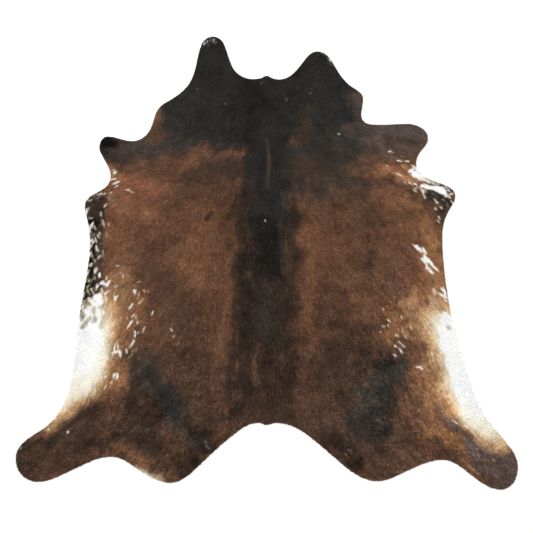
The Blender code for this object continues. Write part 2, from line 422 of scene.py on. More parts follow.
LEFT_WHITE = (  # the white of the flank
    ("flank", -800, -460, 160, -830, -550, 190, -845, -670, 190, -925, -755, 194, 50, 5, "tan", 95),
    ("flank", -800, -470, 147, -830, -550, 173, -845, -670, 172, -925, -755, 176, 45, 5, "gold", 90),
    ("shank", -850, -885, 14, -920, -925, 7, 30, 6, "tan", 55),
    ("flank", -800, -500, 120, -830, -560, 151, -845, -670, 153, -925, -755, 152, 45, 5, "cream", 95),
    ("flank", -795, -510, 97, -830, -570, 130, -845, -670, 136, 40, 5, "ivory", 95),
    ("flank end", -845, -670, 136, -925, -755, 95, 45, 5, "ivory", 90),
    ("flank", -790, -520, 85, -830, -570, 115, 30, 4, "white", 97),
    ("flank low", -830, -570, 115, -850, -620, 122, 50, 5, "white", 95),
    # Painted shade: the white greys toward the hide's outer edge
    ("flank", -830, -530, 55, -845, -660, 55, 50, 3, "pale grey", 90),
    ("flank", -830, -740, 35, -790, -790, 28, 60, 6, "cream", 35),
)
LEFT_EDGE = (  # elbow and belly
    ("elbow", -830, 150, 50, -820, 55, 50, 42, 6, "dark brown", 100),
    ("belly", -800, 40, 38, -784, -300, 48, 25, 6, "dark brown", 97),
    ("belly", -825, 20, 34, -818, -352, 34, 20, 6, "black", 97),
    ("belly", -752, -350, 19, -738, -378, 17, 10, 5, "white", 97),
    ("belly", -812, -384, 16, -785, -390, 13, 12, 4, "taupe", 80),
    ("belly", -716, -395, 13, -716, -490, 14, 15, 4, "dun", 75),
    ("belly strand", -797, -366, 6, -762, -392, 9, 8, 4, "ivory", 95),
    ("belly tail", -762, -392, 10, -742, -425, 11, 8, 4, "white", 95),
    ("belly neck", -742, -425, 12, -735, -480, 16, 10, 4, "white", 95),
    ("belly arc", -806, -420, 11, -777, -437, 12, 10, 4, "white", 95),
    ("belly", -762, -418, 9, -755, -470, 10, 10, 4, "taupe", 60),
    ("belly low", -772, -458, 10, -802, -495, 10, 12, 4, "taupe", 65),
    ("belly smoke", -820, -435, 17, -808, -462, 16, 16, 4, "taupe", 90),
    ("belly band", -787, -452, 6, -815, -488, 5, 8, 3, "ivory", 90),
)
RIGHT_FRONT = (  # neck, arm and shoulder
    ("shoulder", 490, 770, 24, 470, 660, 24, 50, 10, "plum", 70),
    ("neck", 200, 660, 40, 170, 520, 50, 100, 15, "umber", 55),
    ("shoulder", 125, 480, 12, 145, 460, 12, 60, 8, "red brown", 60),
    ("shoulder low", 170, 340, 40, 230, 300, 30, 100, 15, "brown", 40),
    ("leg", 620, 465, 25, 740, 455, 20, 70, 12, "dark brown", 60),
    ("leg back", 580, 420, 25, 715, 415, 20, 50, 10, "plum", 75),
    ("arm", 480, 375, 20, 600, 385, 30, 90, 12, "red brown", 60),
    ("arm bar", 420, 300, 20, 700, 325, 30, 80, 12, "red brown", 90),
    ("arm", 575, 302, 30, 710, 285, 35, 70, 10, "orange brown", 95),
    ("arm", 600, 305, 14, 700, 278, 20, 50, 8, "copper", 75),
    ("notch bright", 690, 338, 14, 730, 335, 22, 40, 8, "tan", 100),
    ("notch", 645, 270, 16, 720, 262, 22, 50, 10, "tan", 80),
    ("elbow line", 560, 265, 5, 715, 192, 7, 22, 6, "dark brown", 100),
)
RIGHT_SIDE = (  # ribs and flank
    ("ribs shade", 480, 140, 30, 460, -200, 30, 100, 20, "umber", 60),
    ("ribs", 620, 170, 50, 690, 20, 45, 120, 20, "rust", 50),
    ("elbow", 680, 150, 20, 735, 130, 20, 50, 10, "orange brown", 60),
    ("side strip", 190, -20, 35, 200, -450, 35, 90, 15, "rust", 50),
    ("side", 250, -20, 45, 240, -320, 50, 120, 20, "rust", 25),
    ("side", 330, -340, 50, 400, -460, 40, 110, 20, "umber", 60),
    ("flank shade", 500, -160, 50, 590, -270, 35, 80, 20, "umber", 70),
    ("ribs wave", 470, -50, 4, 500, -240, 5, 30, 10, "dark brown", 60),
    ("side strip low", 190, -480, 20, 200, -620, 20, 50, 12, "red brown", 60),
    ("side low", 340, -520, 100, 360, -740, 100, 120, 25, "dark brown", 60),
    ("thigh", 330, -700, 20, 360, -750, 20, 60, 12, "red brown", 30),
    ("edge", 765, 50, 40, 765, -330, 50, 90, 15, "rust", 80),
    ("edge", 765, -20, 55, 745, -340, 60, 100, 12, "orange brown", 100),
    ("edge glow", 745, -270, 28, 760, -330, 30, 60, 10, "tan", 60),
    ("belly shade", 772, 0, 12, 765, -30, 12, 40, 10, "brown", 60),
    ("flank", 630, -390, 50, 625, -500, 48, 80, 15, "tan", 90),
    ("flank gleam", 670, -345, 30, 680, -455, 30, 70, 12, "tan", 65),
    ("flank warm", 555, -420, 25, 560, -520, 25, 60, 15, "orange brown", 60),
    ("flank", 800, -500, 145, 862, -745, 178, 885, -825, 140, 60, 5, "tan", 90),
    ("thigh", 690, -720, 35, 700, -930, 35, 100, 15, "orange brown", 70),
)
RIGHT_HIND = (  # thigh, rump and shank
    ("thigh", 555, -710, 52, 490, -780, 55, 80, 22, "slate", 95),
    ("thigh low", 470, -790, 58, 430, -930, 65, 80, 22, "slate", 95),
    ("rump", 400, -960, 60, 330, -1020, 50, 100, 20, "dark brown", 80),
    ("thigh", 530, -700, 28, 460, -920, 36, 110, 30, "charcoal", 70),
    ("rump", 600, -870, 35, 650, -950, 35, 90, 18, "rust", 70),
    ("rump shade", 260, -950, 40, 340, -1050, 40, 80, 15, "dark brown", 80),
    ("shank ground", 855, -1020, 55, 950, -1100, 65, 80, 12, "plum", 80),
    ("rump", 700, -955, 30, 785, -1000, 30, 50, 10, "orange brown", 85),
    ("shank rim", 785, -1062, 6, 845, -1125, 4, 12, 4, "tan", 70),
    ("shank", 822, -990, 14, 862, -1095, 22, 50, 8, "plum", 85),
)
RIGHT_WHITE = (  # the white of the flank
    ("flank", 800, -500, 122, 862, -745, 132, 885, -825, 108, 45, 5, "gold", 90),
    ("shank", 876, -885, 72, 938, -965, 78, 45, 5, "gold", 85),
    ("flank", 800, -500, 78, 862, -745, 103, 885, -825, 90, 45, 5, "cream", 95),
    ("shank", 876, -885, 66, 910, -930, 50, 40, 5, "cream", 90),
    ("shank end", 915, -940, 40, 945, -975, 30, 40, 5, "cream", 25),
    ("flank", 797, -510, 48, 862, -745, 86, 885, -825, 70, 30, 5, "chalk", 100),
    ("flank top", 790, -445, 18, 797, -510, 45, 25, 6, "chalk", 90),
    ("flank bulge", 780, -655, 16, 785, -705, 18, 30, 4, "chalk", 90),
    ("thigh glow", 672, -665, 14, 690, -710, 16, 40, 8, "tan", 85),
    ("shank", 872, -875, 56, 900, -915, 36, 35, 5, "ivory", 70),
    ("thigh", 728, -845, 12, 775, -930, 15, 35, 8, "plum", 75),
    # Painted shade: the white greys toward the hide's outer edge
    ("flank", 840, -560, 22, 900, -860, 34, 50, 3, "pale grey", 95),
    ("spot", 795, -505, 7, 800, -510, 6, 10, 2, "dun", 80),
    ("flank", 748, -372, 18, 772, -405, 20, 40, 6, "dun", 60),
    ("flank rim", 808, -385, 3, 811, -440, 2, 6, 1, "red brown", 50),
    ("spot", 765, -395, 12, 790, -410, 12, 20, 4, "tan", 70),
)
RIGHT_EDGE = (  # elbow
    ("elbow", 800, 165, 42, 865, 120, 34, 40, 8, "charcoal", 85),
    ("elbow low", 850, 120, 30, 835, 40, 15, 50, 8, "dark brown", 80),
    ("elbow point", 850, 165, 22, 875, 125, 20, 30, 5, "black", 50),
    ("elbow band", 757, 221, 14, 800, 213, 12, 848, 194, 23, 8, 3, "white", 100),
    ("elbow band end", 848, 194, 22, 866, 168, 8, 10, 3, "white", 95),
    ("elbow blot", 790, 233, 7, 822, 236, 6, 10, 3, "plum", 75),
    ("elbow tip", 866, 216, 10, 893, 182, 13, 14, 4, "plum", 95),
    ("elbow", 730, 290, 18, 765, 266, 10, 10, 3, "white", 100),
    ("elbow fill", 748, 262, 11, 782, 240, 9, 10, 4, "ivory", 90),
    ("notch", 742, 330, 7, 736, 305, 10, 10, 3, "white", 95),
    ("elbow edge", 772, 262, 12, 835, 236, 8, 10, 3, "cream", 90),
    ("elbow rim", 770, 272, 3, 830, 238, 3, 8, 3, "ash", 80),
)
STROKES = (
    *GROUNDS, *BACK_LINE,
    *LEFT_FRONT, *LEFT_SIDE, *LEFT_HIND, *LEFT_WHITE, *LEFT_EDGE,
    *RIGHT_FRONT, *RIGHT_SIDE, *RIGHT_HIND, *RIGHT_WHITE, *RIGHT_EDGE,
)

# Runs of small flecks along a line, in millimetres. The seed keeps each run the same.
# where, x1, y1, x2, y2, half-width, count, length, width, colour, seed
FLECK_RUNS = (
    ("left elbow top", -858, 148, -795, 182, 11, 8, 9, 4, "ash", 1),
    ("left elbow", -830, 150, -800, 50, 25, 8, 9, 4, "plum", 2),
    ("left belly edge", -826, 20, -812, -300, 10, 12, 8, 4, "dun", 4),
    ("left belly inner", -785, 40, -765, -300, 12, 8, 9, 4, "ash", 5),
    ("left belly low", -795, -240, -790, -370, 20, 10, 10, 5, "dun", 7),
    ("left belly tufts", -735, -270, -730, -350, 20, 8, 12, 6, "cream", 8),
    ("left belly smoke", -815, -380, -800, -470, 14, 8, 12, 6, "slate", 9),
    ("right elbow black", 770, 160, 880, 120, 30, 8, 10, 5, "ash", 12),
    ("right elbow tip", 862, 215, 898, 170, 12, 7, 10, 5, "pale grey", 14),
    ("right elbow front", 705, 240, 765, 185, 14, 6, 12, 5, "cream", 13),
)

# Single flecks of hair of another colour: where each is and its size in millimetres,
# how far it is turned from the lie of the hair in degrees, its strength in hundredths.
# x, y, length, width, turn, strength
FLECKS = {
    "ash": (
        (-330, 1155, 20, 10, 20, 80), (-300, 1150, 24, 8, 10, 90), (-290, 1160, 30, 10, 60, 70),
        (-275, 1130, 20, 8, -20, 80), (-310, 1115, 14, 6, 0, 60), (-305, 1163, 26, 10, 30, 80),
        (-318, 1128, 16, 8, 10, 80), (310, 1050, 20, 7, 40, 80), (325, 1040, 20, 9, 30, 70),
        (350, 980, 26, 12, 0, 60), (-25, 850, 20, 10, -30, 75), (-360, 812, 10, 6, 60, 80),
        (-210, 717, 10, 7, 0, 80), (103, 747, 16, 7, 10, 80), (233, 785, 10, 8, 60, 80),
        (115, 160, 8, 6, 0, 70), (-832, 164, 20, 9, 0, 90), (-814, 173, 14, 7, 0, 90),
        (-807, 154, 26, 7, 10, 95), (-761, 83, 20, 7, 35, 90), (-811, -46, 34, 24, 60, 90),
        (-787, -272, 12, 10, 0, 95), (-797, -305, 14, 8, 0, 90), (-488, -947, 12, 6, 0, 60),
        (-247, -992, 26, 6, 60, 80), (-237, -1015, 22, 7, 60, 80), (640, 385, 50, 5, 0, 80),
        (680, 390, 30, 5, -10, 80), (676, 370, 20, 6, 0, 70), (816, 107, 10, 6, 0, 80),
        (770, -900, 14, 5, 0, 70), (333, -990, 12, 5, 0, 60), (338, -1028, 14, 6, 30, 70),
        (324, -1045, 12, 8, 0, 80),
    ),
    "dun": (
        (-480, 137, 10, 6, 0, 70), (-751, 147, 12, 6, 40, 70), (-746, -45, 32, 5, 45, 70),
        (-800, -160, 20, 7, 55, 85), (-786, -181, 22, 10, 50, 90), (-753, -140, 46, 7, 35, 85),
        (-807, -230, 16, 6, 40, 80), (-801, -281, 14, 12, 0, 85), (-804, -319, 22, 7, 60, 90),
        (-736, -283, 14, 6, 0, 80), (-797, -337, 32, 9, 60, 95), (-680, -346, 20, 5, 10, 60),
        (-555, -478, 12, 6, 0, 60), (-575, -618, 30, 7, 0, 70), (-562, -608, 16, 6, 0, 60),
        (-586, -640, 20, 6, 0, 60), (-380, -577, 14, 5, -10, 70), (-992, -1020, 10, 6, 20, 70),
        (672, 165, 10, 6, 0, 70), (806, 146, 12, 6, 0, 80), (852, 142, 12, 8, 0, 80),
        (853, -1025, 12, 6, 0, 70), (856, -1050, 10, 5, 0, 70), (912, -1065, 14, 6, 10, 80),
    ),
    "cream": (
        (-752, 310, 12, 6, 0, 70), (-728, 217, 16, 7, 0, 80), (-672, 200, 18, 10, -30, 80),
        (-655, 192, 24, 6, -60, 70), (-642, 184, 12, 5, 0, 60), (-799, 176, 16, 10, 0, 95),
        (-777, 178, 14, 8, 10, 80), (-750, 182, 14, 9, 10, 95), (-842, 141, 18, 6, -20, 80),
        (-769, 111, 22, 11, 0, 85), (-840, 44, 12, 6, 0, 70), (-826, 43, 10, 8, 0, 90),
        (-784, 63, 26, 7, 50, 85), (-766, 12, 52, 7, 48, 90), (-743, 10, 14, 7, 40, 60),
        (-803, -10, 30, 6, 65, 90), (-779, -36, 16, 7, 55, 80), (-782, -55, 20, 10, 50, 85),
        (-805, -92, 30, 7, 15, 95), (-813, -112, 18, 8, 0, 85), (-791, -75, 30, 9, 40, 80),
        (-811, -147, 28, 12, 20, 95), (-770, -163, 22, 10, 0, 90), (-800, -201, 18, 12, 20, 95),
        (-770, -221, 14, 7, 50, 80), (-723, -270, 16, 10, 20, 90), (-720, -354, 30, 6, 35, 85),
        (-714, -376, 32, 8, 35, 90), (-779, -335, 36, 9, 60, 90), (-815, -357, 26, 7, 30, 85),
        (-815, -408, 18, 8, 60, 85), (-688, -465, 70, 8, 20, 70), (-679, -310, 18, 6, -30, 75),
        (-680, -205, 22, 5, -50, 70), (-665, -245, 12, 5, 20, 60), (-650, -260, 18, 6, 30, 80),
        (-580, -287, 18, 5, -30, 60), (-570, -346, 16, 8, 20, 90), (-545, -332, 14, 6, 60, 80),
        (-532, -337, 12, 5, 0, 60), (-555, -375, 26, 5, -5, 70), (-566, -388, 18, 9, -20, 80),
        (-503, -437, 16, 10, 10, 90), (-572, -460, 18, 8, 40, 60), (-613, -465, 18, 6, 30, 70),
        (-566, -484, 14, 9, 40, 90), (-537, -515, 30, 8, -5, 90), (-558, -528, 10, 8, 0, 80),
        (-590, -592, 18, 6, -10, 70), (-645, -565, 20, 6, -10, 80), (-414, -515, 14, 10, 70, 95),
        (-402, -546, 12, 5, 0, 70), (-653, -752, 10, 6, 0, 80), (-677, -770, 22, 6, 0, 85),
        (-678, -495, 50, 7, 10, 70), (-672, -535, 34, 6, 15, 60), (-890, -944, 12, 8, 40, 80),
        (630, 415, 12, 6, 0, 50), (595, 336, 10, 8, 0, 75), (650, 286, 24, 6, 10, 85),
        (662, 277, 14, 6, 0, 70), (716, 287, 14, 7, 0, 70), (675, 241, 22, 6, -20, 60),
        (737, 214, 20, 9, 0, 70), (722, 190, 20, 9, -5, 90), (761, 160, 24, 10, -50, 70),
        (814, 136, 18, 8, -20, 85), (820, 127, 14, 10, 0, 85), (833, 102, 14, 10, 0, 90),
        (808, 93, 14, 12, 0, 95), (819, 44, 20, 9, -20, 90), (813, 24, 18, 8, 10, 80),
        (893, 177, 16, 9, 90, 90), (785, -232, 26, 5, 0, 90), (757, -330, 22, 16, 10, 75),
        (752, -343, 20, 8, 0, 60), (802, -375, 24, 12, 20, 80), (520, -420, 10, 6, 20, 70),
        (540, -472, 12, 7, 20, 85), (515, -498, 14, 6, 60, 80), (535, -497, 10, 8, 0, 75),
        (500, -525, 10, 6, 0, 75), (598, -459, 12, 7, 0, 85), (635, -508, 14, 7, -20, 80),
        (598, -520, 20, 4, -20, 70), (572, -540, 14, 7, 30, 85), (607, -550, 18, 6, 0, 85),
        (578, -573, 18, 7, 0, 90), (560, -588, 16, 9, 20, 85), (597, -590, 16, 8, 30, 75),
        (715, -630, 26, 9, 5, 85), (755, -808, 14, 9, 60, 75),
    ),
    "ivory": (
        (-858, 147, 14, 8, 0, 90), (-853, 80, 38, 12, 40, 95), (-818, 10, 30, 11, 30, 90),
        (-825, -18, 46, 11, 35, 95), (-812, -76, 16, 14, 30, 95), (-820, -92, 30, 6, 40, 90),
        (-784, -119, 36, 11, 50, 95), (-778, -229, 18, 18, 20, 100), (-757, -252, 28, 13, 30, 100),
        (-812, -247, 20, 12, 30, 95), (-762, -311, 34, 13, 25, 100), (-737, -327, 18, 10, 60, 95),
        (-717, -337, 24, 12, -40, 95), (-780, -406, 22, 9, 70, 90), (-673, -367, 26, 18, 20, 100),
        (-588, -335, 24, 16, 30, 95), (-602, -405, 34, 10, -5, 90), (-590, -450, 20, 8, -20, 85),
        (-598, -488, 40, 12, 5, 95), (-572, -526, 14, 9, 30, 90), (-572, -545, 16, 9, 20, 90),
        (-577, -572, 36, 9, -10, 95), (-655, -605, 30, 10, 20, 100), (-640, -595, 26, 9, 25, 100),
        (-645, -615, 30, 14, -50, 100), (-628, -620, 30, 12, 40, 95), (-658, -622, 20, 8, 0, 90),
        (-602, -612, 24, 9, 30, 90), (-644, -719, 20, 12, 20, 100), (-630, -722, 26, 10, 20, 100),
        (-680, -725, 12, 7, 0, 85), (-690, -525, 40, 6, 10, 60), (704, 231, 26, 6, -10, 85),
        (755, 191, 28, 10, -50, 95), (770, 254, 24, 8, 0, 70), (889, 132, 20, 7, -20, 90),
        (870, 164, 18, 10, 60, 90), (882, 157, 18, 12, -20, 90),
    ),
    "pale grey": (
        (-335, 1125, 22, 10, 0, 85), (-285, 1140, 26, 10, 10, 75), (297, 1062, 20, 8, 50, 60),
        (337, 1015, 26, 9, 10, 75), (345, 1000, 24, 10, 10, 70), (368, 527, 8, 7, 0, 90),
        (-4, 27, 9, 6, 0, 95), (-810, -955, 10, 7, 60, 90), (873, 213, 18, 7, 20, 85),
        (878, 194, 16, 6, 30, 85), (778, -915, 26, 6, 10, 70),
    ),
    "white": (
        (-320, 1140, 14, 8, 40, 70), (-742, 295, 20, 14, 10, 95), (-748, 260, 26, 10, -10, 95),
        (-735, 235, 24, 9, -15, 95), (-718, 248, 30, 6, -10, 85), (-731, -294, 24, 14, -50, 100),
        (-743, -292, 20, 12, 0, 100), (-722, -302, 16, 12, 30, 90), (-712, -295, 30, 13, 25, 100),
        (-733, -392, 24, 12, 20, 95), (-786, -451, 18, 10, 0, 90), (-720, -432, 30, 9, 10, 80),
        (615, 423, 14, 9, 30, 85), (658, 366, 26, 10, 10, 75), (700, 365, 18, 12, 30, 95),
        (711, 311, 30, 22, 50, 100), (727, 330, 20, 12, 0, 95), (726, 231, 18, 13, 0, 95),
        (697, -113, 30, 20, 0, 100), (712, -125, 30, 14, 5, 100), (729, -130, 30, 16, -10, 100),
        (735, -145, 16, 8, -20, 90), (735, -170, 40, 20, 10, 100), (727, -183, 30, 22, -10, 100),
        (748, -183, 40, 16, 5, 100), (762, -206, 36, 12, 5, 100), (776, -222, 20, 8, 5, 95),
        (733, -212, 30, 13, -25, 100), (752, -238, 24, 13, 15, 100), (745, -222, 20, 9, 0, 90),
        (798, -330, 40, 16, 0, 90), (795, -355, 40, 20, 20, 90), (582, -613, 18, 9, 0, 90),
        (554, -630, 14, 9, 20, 85), (660, -686, 16, 10, 20, 100), (645, -681, 14, 7, 30, 80),
    ),
    "dark brown": (
        (878, 183, 14, 8, 0, 80),
    ),
    "soot": (
        (893, 196, 14, 8, 0, 80),
    ),
}


# ---------------------------------------------------------------- the solid's edge
def floor_edge_of(node):
    """The closed edge of a flat-bottomed solid where it meets the floor, anticlockwise."""
    node.data.calc_loop_triangles()
    places = np.array([vertex.co[:] for vertex in node.data.vertices])
    corners = np.array([triangle.vertices[:] for triangle in node.data.loop_triangles])
    rounded = np.round(places * WELD_STEPS)
    _, first, same = np.unique(rounded, axis=0, return_index=True, return_inverse=True)
    on_floor = (places[corners][:, :, 2] < ON_FLOOR).all(1)
    base = same.ravel()[corners[on_floor]]
    sides = {(t[i], t[i - 2]) for t in base.tolist() for i in range(3)}
    after = {b: a for a, b in sides if (b, a) not in sides}
    start = min(after)
    chain = [start]
    while after[chain[-1]] != start:
        chain.append(after[chain[-1]])
    loop = places[first[chain], :2]
    ahead = np.roll(loop, -1, 0)
    area = np.sum(loop[:, 0] * ahead[:, 1] - ahead[:, 0] * loop[:, 1])
    return loop if area > 0 else loop[::-1]


def closed_spline(loop, step):
    """The closed loop again, on a smooth curve through its points, with finer steps."""
    before, after, next_after = (np.roll(loop, n, 0) for n in (1, -1, -2))
    points = []
    for p0, p1, p2, p3 in zip(before, loop, after, next_after):
        count = max(1, math.ceil(np.linalg.norm(p2 - p1) / step))
        t = np.arange(count)[:, None] / count
        bend = (2 * p0 - 5 * p1 + 4 * p2 - p3) * t**2 + (3 * p1 - p0 - 3 * p2 + p3) * t**3
        points.append(p1 + 0.5 * ((p2 - p0) * t + bend))
    return np.concatenate(points)


# ---------------------------------------------------------------- the ground's tools
# The ground is a net of cells over the hide: xs and ys are their places, and each
# field holds a value for every cell.
def cells_near(x1, y1, x2, y2, reach):
    """The part of the ground within reach of a line: (the part, its x, its y)."""
    c0, c1 = np.searchsorted(xs, (min(x1, x2) - reach, max(x1, x2) + reach))
    r0, r1 = np.searchsorted(ys, (min(y1, y2) - reach, max(y1, y2) + reach))
    return (slice(r0, r1), slice(c0, c1)), xs[None, c0:c1], ys[r0:r1, None]


def from_line(px, py, x1, y1, x2, y2):
    """Distance to a line between two places, and how far along it, from 0 to 1."""
    run_x, run_y = x2 - x1, y2 - y1
    t = (px - x1) * run_x + (py - y1) * run_y
    t = np.clip(t / max(run_x**2 + run_y**2, TINY), 0, 1)
    return np.hypot(px - x1 - t * run_x, py - y1 - t * run_y), t


def edge_distance(loop):
    """How far in from the loop each cell is: negative outside, and no more than EDGE_REACH."""
    gap = np.full((len(ys), len(xs)), EDGE_REACH, np.float32)
    inside = np.zeros(gap.shape, bool)
    for a, b in zip(loop, np.roll(loop, -1, 0)):
        at, px, py = cells_near(*a, *b, EDGE_REACH)
        gap[at] = np.minimum(gap[at], from_line(px, py, *a, *b)[0])
        rows = slice(*np.searchsorted(ys, sorted((a[1], b[1]))))
        crossing = a[0] + (ys[rows] - a[1]) / (b[1] - a[1]) * (b[0] - a[0])
        inside[rows] ^= xs[None] < crossing[:, None]
    return np.where(inside, 1, -1) * gap


def smoothstep(low, high, value):
    t = np.clip((value - low) / (high - low), 0, 1)
    return t * t * (3 - 2 * t)


def spline_weights(places, count):
    """The four cubic weights of each place over evenly spaced knots, as a matrix."""
    first = np.floor(places).astype(int)
    t = places - first
    weights = np.zeros((len(places), count), np.float32)
    rows = np.arange(len(places))
    weights[rows, first] = (1 - t) ** 3 / 6
    weights[rows, first + 1] = (3 * t**3 - 6 * t**2 + 4) / 6
    weights[rows, first + 2] = (-3 * t**3 + 3 * t**2 + 3 * t + 1) / 6
    weights[rows, first + 3] = t**3 / 6
    return weights


def noise(seed, size):
    """Smooth random values over the ground, of unit spread, in blobs about size across."""
    rng = np.random.default_rng(seed)
    across, along = (xs - xs[0]) / size, (ys - ys[0]) / size
    columns, rows = math.ceil(across[-1]) + SPARE_KNOTS, math.ceil(along[-1]) + SPARE_KNOTS
    knots = rng.standard_normal((rows, columns)).astype(np.float32)
    field = spline_weights(along, rows) @ knots @ spline_weights(across, columns).T
    return field / field.std()


def cloud(seed, size):
    """Noise with finer and weaker noise on it, twice."""
    field = noise(seed, size) + 0.5 * noise(seed + 1, size / 2) + 0.25 * noise(seed + 2, size / 4)
    return field / field.std()


def combed(field, length, stride=1):
    """The field drawn out along the lie of the hair, of unit spread."""
    count = max(1, round(length / (2 * CELL * stride)))
    total = field.astype(np.float32)
    rows, columns = np.indices(field.shape, dtype=np.float32)
    top, side = field.shape[0] - 1, field.shape[1] - 1
    for way in (stride, -stride):
        r, c = rows.copy(), columns.copy()
        i, j = rows.astype(np.int32), columns.astype(np.int32)
        for _ in range(count):
            c += way * lie_x[i, j]
            r += way * lie_y[i, j]
            i = np.clip(np.rint(r), 0, top).astype(np.int32)
            j = np.clip(np.rint(c), 0, side).astype(np.int32)
            total += field[i, j]
    total -= total.mean()
    return total / total.std()


def combed_noise(seed, size, *comb):
    return combed(noise(seed, size), *comb)


def sample(field, x, y):
    """The ground's values at places in metres, between its cells."""
    c = np.clip((x - xs[0]) / CELL, 0, len(xs) - PAST_LAST)
    r = np.clip((y - ys[0]) / CELL, 0, len(ys) - PAST_LAST)
    j, i = c.astype(np.int32), r.astype(np.int32)
    right, up = c - j, r - i
    if field.ndim == 3:
        right, up = right[:, None], up[:, None]
    lower = field[i, j] * (1 - right) + field[i, j + 1] * right
    upper = field[i + 1, j] * (1 - right) + field[i + 1, j + 1] * right
    return lower * (1 - up) + upper * up


def bell(squared_distance, reach):
    """1 at the middle, and less the further away, over about the reach."""
    return np.exp(-squared_distance / (2 * reach**2))


def turned(x, y, turn):
    return x * np.cos(turn) - y * np.sin(turn), x * np.sin(turn) + y * np.cos(turn)


def lay_of_hair():
    """The hair's heading as two fields, and its length, from GUIDES on both halves."""
    totals = np.zeros((4, len(ys), len(xs)), np.float32)
    for _, x, y, heading, length in GUIDES:
        out, down = math.cos(math.radians(heading)), math.sin(math.radians(heading))
        for side in (1, -1):
            near_x = bell((xs - side * x) ** 2, GUIDE_REACH)
            near_y = bell((ys - y) ** 2, GUIDE_REACH)
            values = np.array([side * out, down, length, 1])[:, None, None]
            totals += near_y[:, None] * near_x[None] * values
    total_x, total_y, total_length, total = totals
    total_x -= MIDDLE_LEAN * np.sign(-xs)[None]
    size = np.hypot(total_x, total_y) + TINY
    turn = SWAY_TURN * noise(*SWAY) + WAVE_TURN * noise(*WAVE)
    x, y = turned(total_x / size, total_y / size, turn)
    return x, y, total_length / (total + TINY)


def tint(at, colour, cover):
    """Covers the paint in a part of the ground with a colour, as far as cover says."""
    paint[at] += cover[..., None] * (np.array(PALETTE[colour], np.float32) - paint[at])


def lay_stroke(x1, y1, wide1, x2, y2, wide2, feather, ragged, colour, strength):
    """A soft stroke, with its line and its rim made ragged by the random fields."""
    reach = max(wide1, wide2) + feather / 2 + DRIFT_REACH * ragged
    at, px, py = cells_near(x1, y1, x2, y2, reach)
    px, py = px + ragged * drift_x[at], py + ragged * drift_y[at]
    away, along = from_line(px, py, x1, y1, x2, y2)
    wide = wide1 + (wide2 - wide1) * along
    away = away + ragged * (FRAY_SHARE * frayed[at] + MOTTLE_SHARE * mottled[at])
    tint(at, colour, strength * smoothstep(feather / 2, -feather / 2, away - wide))


def lay_hairs(x, y, length, width, heading, colour, strength):
    """A few hairs together: a short stroke that narrows towards the hairs' ends."""
    dx, dy = math.cos(heading) * length / 2, math.sin(heading) * length / 2
    line = x - dx, y - dy, x + dx, y + dy
    at, px, py = cells_near(*line, width + FLECK_FEATHER)
    away, along = from_line(px, py, *line)
    half = width / 2 * (1 - STRAND_TAPER * along**2)
    tint(at, colour, strength * smoothstep(FLECK_FEATHER, -FLECK_FEATHER, away - half))


def lay_fleck(rng, x, y, length, width, turn, colour, strength):
    """A tuft of hair of another colour: strands side by side with ragged ends."""
    cell = np.searchsorted(ys, y), np.searchsorted(xs, x)
    heading = math.atan2(lie_y[cell], lie_x[cell]) + turn
    strands = max(1, round(width / STRAND_WIDTH))
    across = width * (1 - 1 / strands)
    for i in range(strands):
        side = across * ((i + 0.5) / strands - 0.5) + rng.normal(0, STRAND_STRAY)
        shift = rng.normal(0, STRAND_SHIFT) * length
        strand_turn = heading + rng.normal(0, STRAND_TURN)
        hx = x - math.sin(heading) * side + math.cos(heading) * shift
        hy = y + math.cos(heading) * side + math.sin(heading) * shift
        size = length * rng.uniform(*STRAND_LENGTHS)
        wide = STRAND_OVERLAP * width / strands
        cover = strength * rng.uniform(*STRAND_STRENGTHS)
        lay_hairs(hx, hy, size, wide, strand_turn, colour, cover)


def scatter_flecks(rng, x1, y1, x2, y2, half_width, count, length, width, colour):
    """Flecks of varied sizes at random places along a line."""
    for _ in range(count):
        t, side = rng.random(), rng.uniform(-1, 1)
        run = math.hypot(x2 - x1, y2 - y1)
        x = x1 + (x2 - x1) * t - (y2 - y1) / run * side * half_width
        y = y1 + (y2 - y1) * t + (x2 - x1) / run * side * half_width
        size = rng.lognormal(0, RUN_SIZES)
        turn = math.radians(rng.normal(0, RUN_TURN))
        strength = rng.uniform(*RUN_STRENGTHS)
        lay_fleck(rng, x, y, length * size, width * size**0.5, turn, colour, strength)


def roughness():
    """How much stronger the mottling is in each cell, from ROUGH_PLACES."""
    total = np.zeros(inward.shape, np.float32)
    for _, x, y, reach, more in ROUGH_PLACES:
        total += more * bell((xs[None] - x) ** 2 + (ys[:, None] - y) ** 2, reach)
    return total


def hair_grain():
    """How much lighter or darker each cell is than its patch: mottled, more in brown hair."""
    grain = FINE_GRAIN * fine + SPECKLE_GRAIN * speckled
    grain = grain + STREAK_GRAIN * streaked + BRINDLE_GRAIN * brindled
    blots = BLOTCH_GRAIN * blotched + MOTTLE_GRAIN * mottled
    grain += (1 + ROUGH_BLOTCHES * rough) * blots + DRIFT_GRAIN * drift_x
    grain += rough * (ROUGH_DRIFT * drift_y + ROUGH_SPECKLE * speckled + ROUGH_FINE * fine)
    dark_specks = SPECK_DARKNESS * np.maximum(speckled + blotched - SPECK_START, 0)
    pale = smoothstep(*PALE_GRAIN, paint.mean(2))
    return np.maximum(1 + (1 - PALE_EVEN * pale) * (GRAIN * grain - dark_specks), DARKEST)


# ---------------------------------------------------------------- the hide's pattern
rough_edge = floor_edge_of(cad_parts[NODE])
outline = closed_spline(rough_edge, OUTLINE_STEP)
reach_x = float(np.abs(outline[:, 0]).max()) + MARGIN
reach_y = float(np.abs(outline[:, 1]).max()) + MARGIN
xs = np.arange(-reach_x, reach_x, CELL)
ys = np.arange(-reach_y, reach_y, CELL)
inward = edge_distance(outline)
lie_x, lie_y, hair_length = lay_of_hair()

